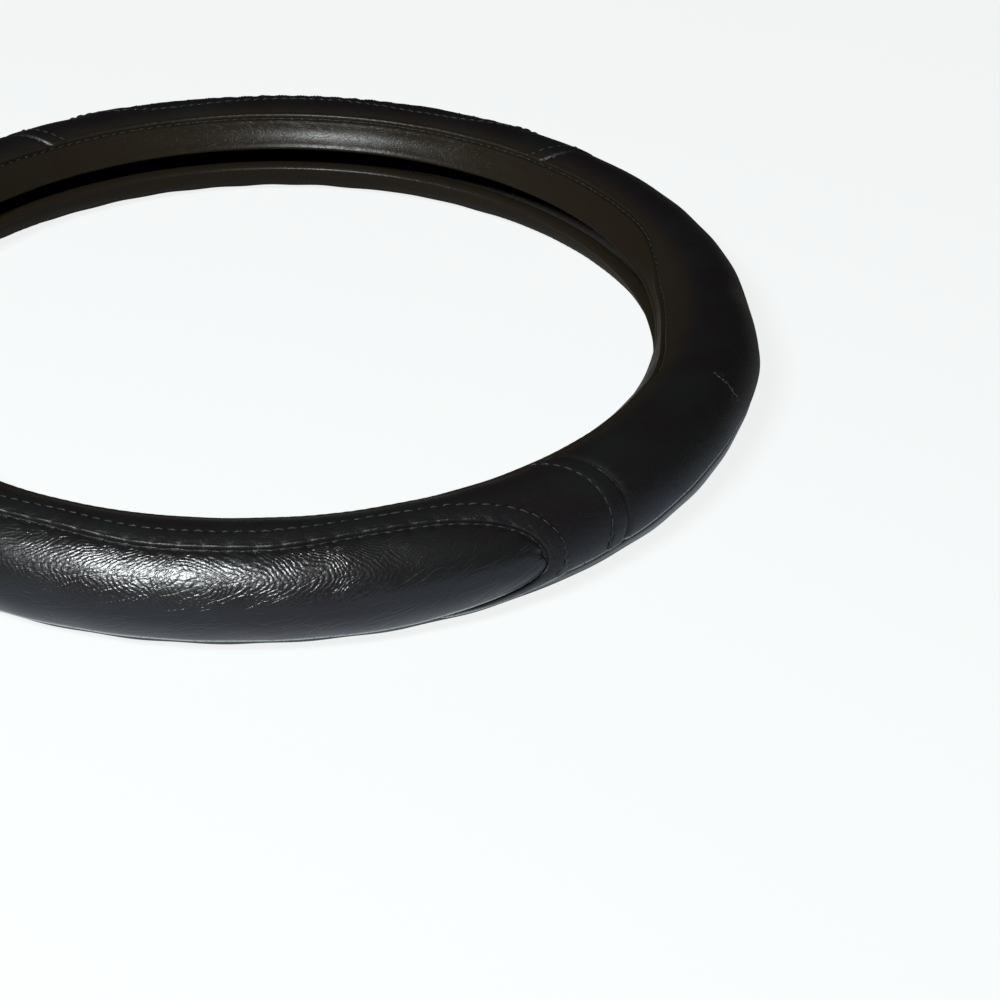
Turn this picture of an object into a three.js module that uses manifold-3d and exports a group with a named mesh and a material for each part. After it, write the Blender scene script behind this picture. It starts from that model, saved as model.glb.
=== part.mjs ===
// Steering wheel cover: a sewn leatherette sleeve on a moulded rubber ring of C section.
//
// The ring lies flat, +Z up, with its centre at the origin. Places on it are given by two angles:
// theta goes round the ring, seen from above, and phi goes round its section, 0 pointing outward,
// 90 up and 180 to the ring's centre. The slit that takes the wheel's rim is at phi 180.
// All lengths are in millimetres and all angles in degrees.

import * as THREE from "three";
import { mergeVertices } from "three/addons/utils/BufferGeometryUtils.js";
import Module from "manifold-3d";

// Ring and section
const RING_RADIUS = 174;
const SECTION_RADIUS = 20.5;
const SKIN_THICKNESS = 1.2;
const CORE_THICKNESS = 2.4;
const SLIT_WIDTH = 9.4;
const REST_FLAT_ANGLE = 12;

// Clearances
const SEAT_GAP = 0.3;

// Sewing
const THREAD_RADIUS = 0.4;
const TOPSTITCH_OFFSET = 7.6;
const TURN_IN = 4;
const THREAD_END_CLEARANCE = 1.6;

// Grip panels, measured from the middle of the panel round the ring
const PANEL_REACH = 34.7;
const PANEL_STRAIGHT = 20;
const PANEL_TOP_MIDDLE = 66;
const PANEL_TOP_SHOULDER = 74;
const SHOULDER_START = 5;
const SHOULDER_END = 18;
const NOSE_PHI = 4;
const NOSE_DEPTH = 33;
const NOSE_BLEND = 5;

// Outer seam, between the front and the back of the sleeve
const OUTER_SEAM_AT_GRIP = -43;
const OUTER_SEAM_AT_JOINT = -21;
const OUTER_SEAM_AT_SIDE = 0;
const FIRST_RISE = [28.5, 38.5];
const SECOND_RISE = [36.5, 69.5];

// Hem seams, where the front and the back of the sleeve meet the bands along the slit
const HEM_SEAM_AT_GRIP = 125;
const HEM_SEAM_AT_SIDE = 147;
const HEM_RISE = [66, 86];

// Cross joints, where a grip section of the front meets a side section
const JOINT_ANGLE = 45.5;
const JOINT_MIDDLE_PHI = 25;
const JOINT_BOW = 2.1;
const JOINT_BOW_PHI = 73;

// Facets, and angles that keep columns apart and carry cutters past what they cut
const RING_SIDES = 48;
const FRONT_ROWS = 12;
const CUTTER_ROWS = 24;
const BACK_ROWS_OUTSIDE = 5;
const BACK_ROWS_INSIDE = 3;
const BAND_ROWS = 3;
const PANEL_ROWS = 8;
const NOSE_STEPS = 9;
const CORE_ROWS_OUTSIDE = 12;
const CORE_ROWS_INSIDE = 8;
const THREAD_STEPS = 12;
const CLOSEST_COLUMNS = 0.2;
const CUTTER_OVERRUN = 15;
const MERGE_DISTANCE = 1e-3;

// Colours and finishes
const LEATHERETTE = { color: 0x1b1b1c, roughness: 0.48, metalness: 0 };
const PANEL_LEATHERETTE = { color: 0x1f1f20, roughness: 0.42, metalness: 0 };
const RUBBER = { color: 0x151413, roughness: 0.85, metalness: 0 };
const THREAD = { color: 0x3c3c3e, roughness: 0.6, metalness: 0 };

const DEGREE = Math.PI / 180;
const RING_STEP = 360 / RING_SIDES;
const SKIN_INSIDE = SECTION_RADIUS - SKIN_THICKNESS;
const CORE_OUTSIDE = SKIN_INSIDE - SEAT_GAP;
const CORE_INSIDE = CORE_OUTSIDE - CORE_THICKNESS;
const SEAM_HALF_GAP = THREAD_RADIUS + SEAT_GAP;
const GRIP_CENTRES = { bottom: -90, top: 90 };
const SIDE_CENTRES = { right: 0, left: 180 };

// The angle round the section that an arc of this length takes on the outside of the skin.
const sectionAngle = (length) => length / SECTION_RADIUS / DEGREE;

// The angle round the ring that a length takes at a place phi on the section.
const ringAngle = (length, phi) =>
  length / (RING_RADIUS + SECTION_RADIUS * Math.cos(phi * DEGREE)) / DEGREE;

const LIP_PHI = 180 - Math.asin(SLIT_WIDTH / 2 / SECTION_RADIUS) / DEGREE;
const CORE_LIP_PHI = LIP_PHI - (SKIN_THICKNESS + SEAT_GAP) / CORE_INSIDE / DEGREE;
const TURN_IN_PHI = LIP_PHI - (SKIN_THICKNESS + SEAT_GAP + TURN_IN) / CORE_INSIDE / DEGREE;

// Evenly spaced values, both ends included.
const spread = (from, to, steps) =>
  Array.from({ length: steps + 1 }, (_, i) => from + ((to - from) * i) / steps);

// A smooth step from 0 to 1 as x goes from start to end.
const rise = (x, [start, end]) => THREE.MathUtils.smoothstep(x, start, end);

// A point of the cover. Seen from above the ring is a regular polygon, so pieces that lie on
// each other share its sides.
function ringPoint(theta, phi, rho) {
  const sideMiddle = (Math.floor(theta / RING_STEP) + 0.5) * RING_STEP;
  const onSide = Math.cos((RING_STEP / 2) * DEGREE) / Math.cos((theta - sideMiddle) * DEGREE);
  const radius = (RING_RADIUS + rho * Math.cos(phi * DEGREE)) * onSide;
  return new THREE.Vector3(
    radius * Math.cos(theta * DEGREE),
    radius * Math.sin(theta * DEGREE),
    rho * Math.sin(phi * DEGREE),
  );
}

// The ring's corners from one angle to another, both ends included, with any angles in between
// that a piece needs of its own.
function columns(from, to, own = []) {
  const corners = [];
  const first = Math.ceil((from + CLOSEST_COLUMNS) / RING_STEP);
  for (let i = first; i * RING_STEP < to - CLOSEST_COLUMNS; i += 1) {
    corners.push(i * RING_STEP);
  }
  return [from, ...corners, to, ...own].sort((a, b) => a - b);
}

const wholeRing = columns(-180, 180).slice(0, -1);

// Signed volume of an indexed triangle mesh, negative where its faces point inward.
function signedVolume(positions, triangles) {
  const corner = (i) => new THREE.Vector3().fromArray(positions, 3 * i);
  return triangles.reduce((sum, [a, b, c]) => sum + corner(a).dot(corner(b).cross(corner(c))) / 6, 0);
}

// A closed solid through a row of sections, each a closed outline with the same number of
// points. In an open loft the two ends are capped by pairing each outline's halves.
function loft(sections, closed = false) {
  const count = sections[0].length;
  const quads = [];
  for (let i = 0; i < sections.length - (closed ? 0 : 1); i += 1) {
    const here = i * count;
    const next = ((i + 1) % sections.length) * count;
    for (let j = 0; j < count; j += 1) {
      const k = (j + 1) % count;
      quads.push([here + j, here + k, next + k, next + j]);
    }
  }
  const last = (sections.length - 1) * count;
  for (let j = 0; !closed && j < count / 2 - 1; j += 1) {
    const [a, b, c, d] = [j, count - 1 - j, count - 2 - j, j + 1];
    quads.push([a, b, c, d]);
    quads.push([last + d, last + c, last + b, last + a]);
  }
  const points = sections.flat();
  const geometry = new THREE.BufferGeometry().setFromPoints(points);
  geometry.setIndex(quads.flatMap((quad) => halves(quad, points)));
  return facingOut(mergeVertices(geometry, MERGE_DISTANCE));
}

// A quad as two triangles, split along its shorter diagonal so that the skin stays full.
function halves([a, b, c, d], points) {
  const alongFirst = points[a].distanceTo(points[c]) <= points[b].distanceTo(points[d]);
  return alongFirst ? [a, b, c, a, c, d] : [a, b, d, b, c, d];
}

// The same mesh without triangles that have shrunk to a line, and with its faces outward.
function facingOut(geometry) {
  const { array } = geometry.index;
  const triangles = [];
  for (let i = 0; i < array.length; i += 3) {
    const [a, b, c] = array.slice(i, i + 3);
    if (a !== b && b !== c && c !== a) {
      triangles.push([a, b, c]);
    }
  }
  const inward = signedVolume(geometry.attributes.position.array, triangles) < 0;
  geometry.setIndex(triangles.flatMap(([a, b, c]) => (inward ? [a, c, b] : [a, b, c])));
  return geometry;
}

const wasm = await Module();
wasm.setup();

function toSolid(geometry) {
  const vertProperties = geometry.attributes.position.array;
  const triVerts = new Uint32Array(geometry.index.array);
  return new wasm.Manifold(new wasm.Mesh({ numProp: 3, vertProperties, triVerts }));
}

function toGeometry(solid) {
  const { vertProperties, triVerts } = solid.getMesh();
  const geometry = new THREE.BufferGeometry();
  geometry.setAttribute("position", new THREE.BufferAttribute(vertProperties, 3));
  geometry.setIndex(new THREE.BufferAttribute(triVerts, 1));
  return geometry;
}

// The body with every cutter taken away.
function cut(body, cutters) {
  return toGeometry(cutters.reduce((solid, cutter) => solid.subtract(toSolid(cutter)), toSolid(body)));
}

// A strip of skin across the section at one theta: its outside, then back along its inside.
function skinSection(theta, phis, outside = SECTION_RADIUS, inside = SKIN_INSIDE) {
  const outer = phis.map((phi) => ringPoint(theta, phi, outside));
  const inner = phis.map((phi) => ringPoint(theta, phi, inside));
  return [...outer, ...inner.reverse()];
}

// Angle round the ring from the middle of the nearer grip panel.
function fromGrip(theta) {
  const turn = THREE.MathUtils.euclideanModulo(theta - GRIP_CENTRES.top, 180);
  return Math.min(turn, 180 - turn);
}

// Place of the outer seam: low under a grip panel, at the ring's widest line on the sides.
function outerSeam(theta) {
  const away = fromGrip(theta);
  return (
    OUTER_SEAM_AT_GRIP +
    (OUTER_SEAM_AT_JOINT - OUTER_SEAM_AT_GRIP) * rise(away, FIRST_RISE) +
    (OUTER_SEAM_AT_SIDE - OUTER_SEAM_AT_JOINT) * rise(away, SECOND_RISE)
  );
}

// Place of the upper hem seam: higher along the grips, closer to the lip on the sides. The
// lower one mirrors it.
const hemSeam = (theta) =>
  HEM_SEAM_AT_GRIP + (HEM_SEAM_AT_SIDE - HEM_SEAM_AT_GRIP) * rise(fromGrip(theta), HEM_RISE);

// Place of a cross joint: its angle from the middle of the grip panel, bowed along the section.
const crossJoint = (phi) =>
  JOINT_ANGLE - JOINT_BOW * ((phi - JOINT_MIDDLE_PHI) / JOINT_BOW_PHI) ** 2;

// Lower and upper edge of a grip panel at an angle from its middle, grown all round by a
// length. The panel follows the outer seam below, and each end is a round nose.
function panelEdges(away, grow) {
  const reach = PANEL_REACH + ringAngle(grow, 0);
  const distance = Math.abs(away);
  const intoNose = (distance - PANEL_STRAIGHT) / (reach - PANEL_STRAIGHT);
  const narrowing = Math.sqrt(1 - THREE.MathUtils.clamp(intoNose, 0, 1) ** 2);
  const shoulder = rise(distance, [SHOULDER_START, SHOULDER_END]);
  const top = PANEL_TOP_MIDDLE + (PANEL_TOP_SHOULDER - PANEL_TOP_MIDDLE) * shoulder;
  const blend = rise(distance, [PANEL_STRAIGHT, PANEL_STRAIGHT + NOSE_BLEND]);
  const depth = THREE.MathUtils.lerp(NOSE_PHI - OUTER_SEAM_AT_GRIP, NOSE_DEPTH, blend);
  const widen = sectionAngle(grow);
  return [NOSE_PHI - (depth + widen) * narrowing, NOSE_PHI + (top - NOSE_PHI + widen) * narrowing];
}

// Angles from the middle of a panel at which its outline is drawn: closer towards each nose.
function panelColumns(centre, grow) {
  const noseLength = PANEL_REACH + ringAngle(grow, 0) - PANEL_STRAIGHT;
  const quarter = spread(0, 90, NOSE_STEPS).slice(0, -1);
  const nose = quarter.map((turn) => PANEL_STRAIGHT + noseLength * Math.sin(turn * DEGREE));
  const reach = PANEL_STRAIGHT + noseLength;
  const own = [...nose, ...nose.map((away) => -away)].map((away) => centre + away);
  return columns(centre - reach, centre + reach, own).filter(
    (theta, i, all) => i === 0 || theta - all[i - 1] > CLOSEST_COLUMNS,
  );
}

// A grip panel, or the cutter for its place in the front skin.
function gripPanel(centre, grow, outside, inside) {
  const section = (theta) => {
    const [low, high] = panelEdges(theta - centre, grow);
    return skinSection(theta, spread(low, high, PANEL_ROWS), outside, inside);
  };
  return loft(panelColumns(centre, grow).map(section));
}

// Cutters reach this far inside and outside the skin.
const CUT_OUTSIDE = SECTION_RADIUS + 2 * SKIN_THICKNESS;
const CUT_INSIDE = SKIN_INSIDE - 2 * SKIN_THICKNESS;

// A cutter that takes the skin away on one side of a cross joint, and overruns it by an angle.
// Side is 1 or -1 for the joint after or before the grip panel, and beyond is 1 to cut away from
// the panel, -1 towards it.
function jointCutter(centre, side, beyond) {
  const [low, high] = [OUTER_SEAM_AT_GRIP, HEM_SEAM_AT_GRIP];
  const sweep = spread(low - CUTTER_OVERRUN, high + CUTTER_OVERRUN, CUTTER_ROWS);
  const section = (phi) => {
    const near = crossJoint(phi) - beyond * ringAngle(SEAM_HALF_GAP, phi);
    const far = crossJoint(phi) + beyond * CUTTER_OVERRUN;
    return [
      ringPoint(centre + side * near, phi, CUT_INSIDE),
      ringPoint(centre + side * near, phi, CUT_OUTSIDE),
      ringPoint(centre + side * far, phi, CUT_OUTSIDE),
      ringPoint(centre + side * far, phi, CUT_INSIDE),
    ];
  };
  return loft(sweep.map(section));
}

// The front of the sleeve from the outer seam over the top to the hem seam.
function frontSection(theta) {
  const low = outerSeam(theta) + sectionAngle(SEAM_HALF_GAP);
  const high = hemSeam(theta) - sectionAngle(SEAM_HALF_GAP);
  return skinSection(theta, spread(low, high, FRONT_ROWS));
}

// The ring's corners that a section of the front spans, past its joints on both sides.
const frontColumns = (centre, half) => {
  const corners = Math.ceil(half / RING_STEP);
  return columns(centre - corners * RING_STEP, centre + corners * RING_STEP);
};

// A thread along a path of [theta, phi] places, with its centre at rho.
function thread(path, rho, closed = false) {
  const place = (i) => {
    const onPath = closed ? i % path.length : THREE.MathUtils.clamp(i, 0, path.length - 1);
    const [theta, phi] = path.at(onPath);
    return ringPoint(theta, phi, rho);
  };
  const section = ([theta, phi], i) => {
    const here = place(i);
    const out = here.clone().sub(ringPoint(theta, phi, 0)).normalize();
    const along = place(i + 1).sub(place(closed || i > 0 ? i - 1 : 0));
    const across = along.cross(out).normalize();
    const corner = (direction, side) => here.clone().addScaledVector(direction, side * THREAD_RADIUS);
    return [corner(out, 1), corner(across, 1), corner(out, -1), corner(across, -1)];
  };
  return loft(path.map(section), closed);
}

// A path round a grip panel, grown from its outline by a length, from the outer seam over the
// panel and back. It keeps clear of the outer seam's own thread.
function panelPath(centre, grow) {
  const clear = ([theta, phi]) => phi - outerSeam(theta) > sectionAngle(THREAD_END_CLEARANCE);
  const edge = (which) => (theta) => [theta, panelEdges(theta - centre, grow)[which]];
  const all = panelColumns(centre, grow);
  const middle = Math.floor(all.length / 2);
  const lowerLeft = all.slice(1, middle).map(edge(0)).filter(clear).reverse();
  const lowerRight = all.slice(middle + 1, -1).map(edge(0)).filter(clear).reverse();
  return [...lowerLeft, ...all.map(edge(1)), ...lowerRight];
}

// A path along a cross joint, shifted towards the panel by a length, with its ends kept off
// the outer seam and the hem seam.
function jointPath(centre, side, shift) {
  const place = (phi) => [centre + side * (crossJoint(phi) - ringAngle(shift, phi)), phi];
  const [start] = place(OUTER_SEAM_AT_JOINT);
  const low = outerSeam(start) + sectionAngle(THREAD_END_CLEARANCE);
  const high = HEM_SEAM_AT_GRIP - sectionAngle(THREAD_END_CLEARANCE);
  return spread(low, high, THREAD_STEPS).map(place);
}

// A seam's thread lies sunk in its groove, and a topstitch lies on the skin.
const SEAM_RHO = SECTION_RADIUS - 2 * THREAD_RADIUS;
const TOPSTITCH_RHO = SECTION_RADIUS + SEAT_GAP + THREAD_RADIUS;

// The piece of the front round a grip panel: the panel's place is cut from it, and it ends at
// a cross joint on each side.
function gripSurround(centre) {
  const body = loft(frontColumns(centre, JOINT_ANGLE).map(frontSection));
  return cut(body, [
    gripPanel(centre, SEAM_HALF_GAP, CUT_OUTSIDE, CUT_INSIDE),
    jointCutter(centre, 1, 1),
    jointCutter(centre, -1, 1),
  ]);
}

// The piece of the front between two grip sections.
function sideSkin(centre) {
  const body = loft(frontColumns(centre, 90 - crossJoint(HEM_SEAM_AT_GRIP)).map(frontSection));
  return cut(body, [jointCutter(centre - 90, 1, -1), jointCutter(centre + 90, -1, -1)]);
}

// The back of the sleeve, one piece from the outer seam under the ring to the lower hem seam.
// A narrow flat runs along its underside, where the cover lies on a table.
function backSkin() {
  const flat = [-90 + REST_FLAT_ANGLE / 2, -90 - REST_FLAT_ANGLE / 2];
  const section = (theta) => {
    const seam = outerSeam(theta) - sectionAngle(SEAM_HALF_GAP);
    const hem = -hemSeam(theta) + sectionAngle(SEAM_HALF_GAP);
    const outside = spread(seam, flat[0], BACK_ROWS_OUTSIDE);
    return skinSection(theta, [...outside, ...spread(flat[1], hem, BACK_ROWS_INSIDE)]);
  };
  return loft(wholeRing.map(section), true);
}

// The band along a hem, folded round the core's lip and turned in. Up is 1 for the upper
// hem and -1 for the lower one.
function hemBand(up) {
  const fold = sectionAngle(SKIN_THICKNESS);
  const inside = CORE_INSIDE - SEAT_GAP - SKIN_THICKNESS;
  const underFold = LIP_PHI - SKIN_THICKNESS / CORE_INSIDE / DEGREE;
  const section = (theta) => {
    const start = hemSeam(theta) + sectionAngle(SEAM_HALF_GAP);
    const outline = [
      ...spread(start, LIP_PHI - fold, BAND_ROWS).map((phi) => [phi, SECTION_RADIUS]),
      [LIP_PHI, SKIN_INSIDE],
      [LIP_PHI, inside + SKIN_THICKNESS],
      [LIP_PHI - fold, inside],
      [TURN_IN_PHI, inside],
      [TURN_IN_PHI, inside + SKIN_THICKNESS],
      [underFold, inside + SKIN_THICKNESS],
      ...spread(underFold, start, BAND_ROWS).map((phi) => [phi, SKIN_INSIDE]),
    ];
    return outline.map(([phi, rho]) => ringPoint(theta, up * phi, rho));
  };
  return loft(wholeRing.map(section), true);
}

// The rubber ring that holds the cover round, open along the slit.
function coreRing() {
  const outer = spread(-CORE_LIP_PHI, CORE_LIP_PHI, CORE_ROWS_OUTSIDE);
  const behindTurnIn = TURN_IN_PHI - SEAT_GAP / CORE_INSIDE / DEGREE;
  const bore = spread(behindTurnIn, -behindTurnIn, CORE_ROWS_INSIDE);
  const inner = [CORE_LIP_PHI, ...bore, -CORE_LIP_PHI];
  const section = (theta) => [
    ...outer.map((phi) => ringPoint(theta, phi, CORE_OUTSIDE)),
    ...inner.map((phi) => ringPoint(theta, phi, CORE_INSIDE)),
  ];
  return loft(wholeRing.map(section), true);
}

function mesh(name, geometry, finish) {
  geometry.computeVertexNormals();
  const material = new THREE.MeshStandardMaterial({ ...finish, flatShading: true });
  const piece = new THREE.Mesh(geometry, material);
  piece.name = name;
  return piece;
}

const cover = new THREE.Group();
cover.name = "steering_wheel_cover";
cover.add(
  mesh("core_ring", coreRing(), RUBBER),
  mesh("back_skin", backSkin(), LEATHERETTE),
  mesh("upper_hem_band", hemBand(1), LEATHERETTE),
  mesh("lower_hem_band", hemBand(-1), LEATHERETTE),
);

for (const [side, centre] of Object.entries(SIDE_CENTRES)) {
  cover.add(mesh(`${side}_side_skin`, sideSkin(centre), LEATHERETTE));
}

for (const [end, centre] of Object.entries(GRIP_CENTRES)) {
  const panel = gripPanel(centre, -SEAM_HALF_GAP, SECTION_RADIUS, SKIN_INSIDE);
  const panelSeam = thread(panelPath(centre, 0), SEAM_RHO);
  const panelTopstitch = thread(panelPath(centre, TOPSTITCH_OFFSET), TOPSTITCH_RHO);
  cover.add(
    mesh(`${end}_grip_surround`, gripSurround(centre), LEATHERETTE),
    mesh(`${end}_grip_panel`, panel, PANEL_LEATHERETTE),
    mesh(`${end}_panel_seam_thread`, panelSeam, THREAD),
    mesh(`${end}_panel_topstitch`, panelTopstitch, THREAD),
  );
  for (const side of [1, -1]) {
    const name = `${end}_${Math.cos((centre + side * JOINT_ANGLE) * DEGREE) > 0 ? "right" : "left"}`;
    const seam = jointPath(centre, side, 0);
    const topstitch = jointPath(centre, side, TOPSTITCH_OFFSET);
    cover.add(
      mesh(`${name}_joint_thread`, thread(seam, SEAM_RHO), THREAD),
      mesh(`${name}_joint_topstitch`, thread(topstitch, TOPSTITCH_RHO), THREAD),
    );
  }
}

const seamRings = {
  outer_seam_thread: outerSeam,
  upper_hem_thread: hemSeam,
  lower_hem_thread: (theta) => -hemSeam(theta),
};
for (const [name, place] of Object.entries(seamRings)) {
  const path = wholeRing.map((theta) => [theta, place(theta)]);
  cover.add(mesh(name, thread(path, SEAM_RHO, true), THREAD));
}

export default cover;
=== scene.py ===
# %% [markdown]
# # A sewn steering wheel cover
#
# The cover is a ring of black leatherette sewn over a rubber channel. This lesson dresses the packed
# model of it: first the camera and the studio, then the finishes, then one skin after another, and
# last the threads. The packed model is loaded as a fixed frame, and every piece made here is worked
# out in that same frame, so nothing has to be fitted afterwards.

# %% The frame
import math

import bpy
import numpy as np
from mathutils import Matrix, Vector


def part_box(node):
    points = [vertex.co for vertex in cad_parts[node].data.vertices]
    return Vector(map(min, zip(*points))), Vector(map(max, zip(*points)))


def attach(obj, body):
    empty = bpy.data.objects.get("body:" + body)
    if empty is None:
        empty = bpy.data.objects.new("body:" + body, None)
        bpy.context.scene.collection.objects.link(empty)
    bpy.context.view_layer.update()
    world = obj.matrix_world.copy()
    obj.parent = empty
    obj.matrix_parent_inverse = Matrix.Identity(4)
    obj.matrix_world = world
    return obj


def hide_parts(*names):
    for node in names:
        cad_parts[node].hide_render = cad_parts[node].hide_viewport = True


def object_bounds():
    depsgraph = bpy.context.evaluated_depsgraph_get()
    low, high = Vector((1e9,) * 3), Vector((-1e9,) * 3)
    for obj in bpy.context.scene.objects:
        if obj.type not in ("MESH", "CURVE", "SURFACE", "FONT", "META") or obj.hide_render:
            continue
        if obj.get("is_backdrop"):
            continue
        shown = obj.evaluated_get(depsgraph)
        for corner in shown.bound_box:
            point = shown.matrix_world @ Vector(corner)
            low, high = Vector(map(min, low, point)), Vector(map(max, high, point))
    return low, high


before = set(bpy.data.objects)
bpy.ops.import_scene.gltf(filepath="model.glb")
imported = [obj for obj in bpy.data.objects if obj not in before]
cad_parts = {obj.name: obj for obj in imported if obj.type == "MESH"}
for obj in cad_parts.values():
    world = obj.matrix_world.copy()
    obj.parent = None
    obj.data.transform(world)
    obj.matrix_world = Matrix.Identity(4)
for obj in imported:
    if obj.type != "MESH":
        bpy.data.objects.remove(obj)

cad_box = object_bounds()
print("The solids fill", [round(1000 * (b - a), 1) for a, b in zip(*cad_box)], "mm")

# %% [markdown]
# ## Places on the ring
#
# Two angles give a place on the cover. Theta goes round the ring seen from above, and phi goes round
# its section: 0 points outward, 90 up and 180 to the middle of the ring. A torus is the natural
# surface for this, because a skin is then a flat patch in theta and phi, with small heights added.
# Shapes are worked out in millimetres and degrees and become metres when a mesh is made.

# %% Sizes, from the solids
MM = 0.001
DEG = np.pi / 180

REST_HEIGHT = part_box("back_skin")[0].z / MM
REST_FLAT = 6  # degrees that the underside is flat to either side of its lowest line
SKIN, GAP = 1.2, 0.3  # thickness of a skin, and the room between it and the rubber
SECTION = round(-REST_HEIGHT / math.cos(REST_FLAT * DEG), 1)
INSIDE = SECTION - SKIN
RING = round(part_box("core_ring")[1].x / MM - INSIDE + GAP, 1)
print(f"Ring radius {RING} mm, section radius {SECTION} mm, lowest point {REST_HEIGHT:.2f} mm")

# %% From angles to millimetres


def place(theta, phi, rho):
    """Points of the ring: radius R + rho cos(phi) at the angle theta, and height rho sin(phi)."""
    radius = RING + rho * np.cos(phi * DEG)
    return np.stack(
        [radius * np.cos(theta * DEG), radius * np.sin(theta * DEG), rho * np.sin(phi * DEG)], -1
    )


def smooth(x, start, end):
    """0 before start, 1 after end, and 3t^2 - 2t^3 in between."""
    t = np.clip((x - start) / (end - start), 0, 1)
    return t * t * (3 - 2 * t)


def across(degrees):
    """Length on the outside of the section that an angle phi takes."""
    return degrees * DEG * SECTION


def along(degrees, phi):
    """Length round the ring that an angle theta takes at phi."""
    return degrees * DEG * (RING + SECTION * np.cos(phi * DEG))


print(f"One degree is {across(1):.2f} mm round the section and {along(1, 0):.2f} mm round the ring")

# %% [markdown]
# ## The seams as formulas
#
# The sewing on the real cover draws the lines that part one skin from the next. Such a line could be
# a curve object, but a formula in theta and phi can also tell how far away any point is. The outer
# seam is low under a grip panel and rises to the widest line at the sides. The hem seam runs beside
# the slit. A cross joint is a slightly bowed line over the top.

# %% Where the seams run
GRIPS = {"bottom": -90, "top": 90}
SIDES = {"right": 0, "left": 180}
SEAM_LOW = -36
SEAM_RISES = ((15, 28.5, 38.5), (21, 36.5, 69.5))  # by how much, and from where to where
HEM_LOW, HEM_HIGH, HEM_RISE = 125, 147, (66, 86)
JOINT, JOINT_BOW, JOINT_CREST, JOINT_HALF = 45.5, 2.1, 25, 73


def from_grip(theta):
    """Angle from the middle of the nearer grip panel."""
    turn = np.mod(theta - GRIPS["top"], 180)
    return np.minimum(turn, 180 - turn)


def outer_seam(theta):
    """Phi of the outer seam: -36, rising by 15 at the joint and by 21 more at the side."""
    away = from_grip(theta)
    return SEAM_LOW + sum(rise * smooth(away, start, end) for rise, start, end in SEAM_RISES)


def hem_seam(theta):
    """Phi of the upper hem seam: 125 at the grips, rising to 147 at the sides."""
    return HEM_LOW + (HEM_HIGH - HEM_LOW) * smooth(from_grip(theta), *HEM_RISE)


def cross_joint(phi):
    """Angle of a cross joint from the middle of the panel, a parabola in phi."""
    return JOINT - JOINT_BOW * ((phi - JOINT_CREST) / JOINT_HALF) ** 2


def from_joint(theta, phi):
    """Distance past a cross joint in millimetres, positive on the side skins."""
    return along(from_grip(theta) - cross_joint(phi), phi)


for theta in (-90, -45, 0):
    print(f"At {theta} degrees: outer seam {outer_seam(theta):.0f}, hem {hem_seam(theta):.0f} degrees")

# %% [markdown]
# ## The outline of a grip panel
#
# A grip panel is straight along its top and ends in a round nose, which is two quarter ellipses. With
# q = 1 on an ellipse, the distance from it is nearly (q - 1) / |gradient of q|. The length along the
# outline is needed too, because the stitches and gathers are spaced by it.

# %% Distances at a panel
REACH, STRAIGHT = 34.7, 20  # degrees from the panel's middle to its tip, and to where its nose starts
NOSE, NOSE_DEPTH = 4, 35  # phi of the tip, and how far the nose reaches below it
PANEL_TOP, SHOULDER, SHOULDER_RISE = 66, 8, (5, 18)
PANEL_LINE = 70  # phi at which lengths along a panel's top are measured
NOSE_LENGTH = along(REACH - STRAIGHT, 0)


def panel_top(away):
    """Phi of a panel's upper edge, 66 in the middle and 74 at its shoulders."""
    return PANEL_TOP + SHOULDER * smooth(away, *SHOULDER_RISE)


def panel_depth(away):
    """How far in phi a panel reaches below its tip's line: to the outer seam, and less at the nose."""
    whole = NOSE - SEAM_LOW
    return whole + (NOSE_DEPTH - whole) * smooth(away, STRAIGHT, STRAIGHT + 5)


def nose_parts(theta, phi):
    """A place as parts of the outline's two half axes, t along the nose and s of the height."""
    away = from_grip(theta)
    height = across(np.where(phi > NOSE, panel_top(away) - NOSE, panel_depth(away)))
    t = np.maximum(away - STRAIGHT, 0) / (REACH - STRAIGHT)
    return away, height, t, across(phi - NOSE) / height


def from_panel(theta, phi):
    """Distance outside a panel's outline: (q - 1) / |grad q|, where q = sqrt(t^2 + s^2)."""
    _, height, t, s = nose_parts(theta, phi)
    q = np.maximum(np.hypot(t, s), 1e-3)
    return (q - 1) * q / np.maximum(np.hypot(t / NOSE_LENGTH, s / height), 1e-6)


def panel_run(theta, phi):
    """Length along a panel's outline from the middle of its top, by an ellipse arc table."""
    away, _, t, s = nose_parts(theta, phi)
    steps = np.linspace(0, np.pi, 181)
    arc = np.hypot(NOSE_LENGTH * np.cos(steps), across(PANEL_LINE) * np.sin(steps))
    arc *= steps[1] - steps[0]
    run = np.interp(np.arctan2(t, s), steps, np.cumsum(arc) - arc[0])
    return along(np.minimum(away, STRAIGHT), PANEL_LINE) + run


tip_to_joint = -from_joint(GRIPS["bottom"] + REACH, NOSE)
print(f"A panel's nose is {NOSE_LENGTH:.1f} mm long, with its tip {tip_to_joint:.1f} mm from the joint")

# %% [markdown]
# ## The camera
#
# The view was measured once by fitting this torus to the outlines in the photograph: the distance is
# 4.63 ring radii at 29 degrees above the table, with a focal length of two image widths. The camera
# looks a little past the ring, so it is turned by small angles instead of being aimed at the middle.

# %% Camera
DISTANCE, ELEVATION = 4.629, 29.05
TURN, TIP, ROLL = 6.42, -5.32, -1.89
SWING = 7.5
FOCAL = 2.0
SENSOR = 36


def turned(first, second, degrees):
    """Two perpendicular unit vectors turned in their own plane by an angle."""
    c, s = math.cos(degrees * DEG), math.sin(degrees * DEG)
    return first * c + second * s, second * c - first * s


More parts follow.
